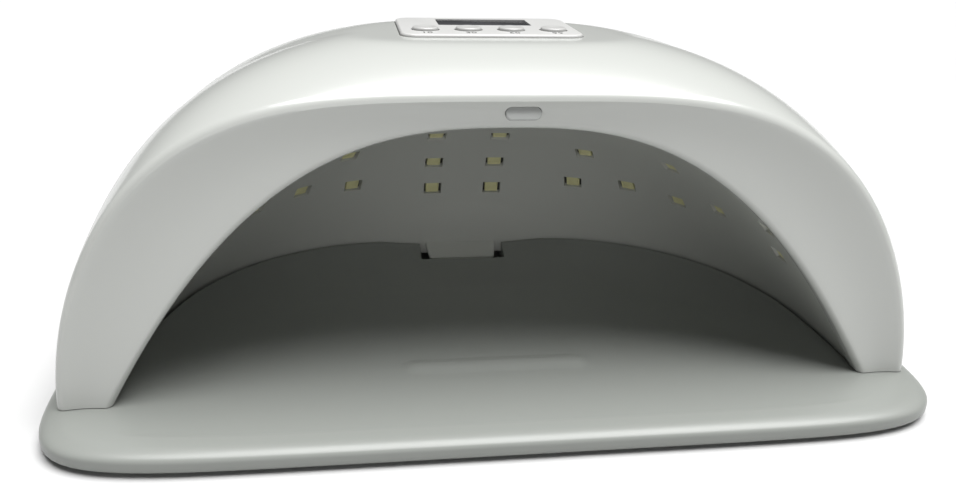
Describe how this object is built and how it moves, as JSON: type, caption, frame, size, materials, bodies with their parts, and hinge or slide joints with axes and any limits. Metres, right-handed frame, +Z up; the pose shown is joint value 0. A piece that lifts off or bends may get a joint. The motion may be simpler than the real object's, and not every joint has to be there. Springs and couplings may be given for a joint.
{
  "type": "uv led nail lamp",
  "caption": "Domed nail curing lamp with an arched hand opening, lamp-lined reflector, top control panel and a lift-off scooped base tray.",
  "frame": {"origin": "centre of the overall bounding box in plan, at the underside of the rubber feet", "axes": "+Z up, -Y out of the open front, +X to the right of a person facing the opening"},
  "size_m": [0.23, 0.178, 0.092],
  "materials": {
    "board_laminate": "green solder mask",
    "button_abs": "white ABS caps",
    "capacitor_can": "aluminium can",
    "diode_epoxy": "dark epoxy",
    "display_epoxy": "black face with segments",
    "foot_rubber": "matt black",
    "jack_nylon": "black nylon",
    "led_flex": "white solder mask",
    "led_package": "pale yellow phosphor and lens",
    "magnet_nickel": "nickel plated",
    "panel_abs": "light grey satin panel",
    "pin_brass": "nickel plated brass",
    "reflector_abs": "satin white ABS",
    "screw_steel": "zinc plated",
    "sensor_tint": "grey translucent window",
    "shell_abs": "glossy white ABS",
    "smoked_window": "smoked acrylic",
    "strike_steel": "zinc plated",
    "stud_nylon": "natural nylon",
    "switch_black": "black",
    "tray_abs": "glossy white ABS",
    "wire_black": "PVC",
    "wire_red": "PVC",
    "wire_white": "PVC"
  },
  "bodies": {
    "tray": {"strike_plates": "strike_steel", "tray_bottom_cover": "tray_abs", "tray_cover_screws": "screw_steel", "tray_feet": "foot_rubber", "tray_top": "tray_abs"},
    "lamp": {"control_board": "board_laminate", "control_board_screws": "screw_steel", "control_panel": "panel_abs", "dc_jack": "jack_nylon", "dc_jack_pin": "pin_brass", "display_module": "display_epoxy", "display_window": "smoked_window", "driver_capacitors": "capacitor_can", "driver_inductor": "switch_black", "driver_transistors": "switch_black", "inner_reflector": "reflector_abs", "jack_board": "board_laminate", "lamp_magnets": "magnet_nickel", "led_board_back": "led_flex", "led_board_left": "led_flex", "led_board_right": "led_flex", "led_board_studs": "stud_nylon", "led_wire_left": "wire_white", "led_wire_right": "wire_white", "outer_shell": "shell_abs", "reflector_screws": "screw_steel", "sensor_board": "board_laminate", "sensor_diodes": "diode_epoxy", "sensor_window": "sensor_tint", "supply_wire_black": "wire_black", "supply_wire_red": "wire_red", "tact_switches": "switch_black", "uv_leds_back": "led_package", "uv_leds_left": "led_package", "uv_leds_right": "led_package"},
    "key_10s": {"button_10s": "button_abs", "switch_stem_10s": "switch_black"},
    "key_30s": {"button_30s": "button_abs", "switch_stem_30s": "switch_black"},
    "key_60s": {"button_60s": "button_abs", "switch_stem_60s": "switch_black"},
    "key_99s": {"button_99s": "button_abs", "switch_stem_99s": "switch_black"}
  },
  "joints": [
    {"name": "lamp_lift", "type": "slide", "parent": "tray", "child": "lamp", "axis": [0, 0, 1], "range_m": [0, 0.06]},
    {"name": "key_10s_press", "type": "slide", "parent": "lamp", "child": "key_10s", "axis": [0, 0, -1], "range_m": [0, 0.0007], "stiffness_N_per_m": 900, "springref_m": -0.0006},
    {"name": "key_30s_press", "type": "slide", "parent": "lamp", "child": "key_30s", "axis": [0, 0, -1], "range_m": [0, 0.0007], "stiffness_N_per_m": 900, "springref_m": -0.0006},
    {"name": "key_60s_press", "type": "slide", "parent": "lamp", "child": "key_60s", "axis": [0, 0, -1], "range_m": [0, 0.0007], "stiffness_N_per_m": 900, "springref_m": -0.0006},
    {"name": "key_99s_press", "type": "slide", "parent": "lamp", "child": "key_99s", "axis": [0, 0, -1], "range_m": [0, 0.0007], "stiffness_N_per_m": 900, "springref_m": -0.0006}
  ]
}
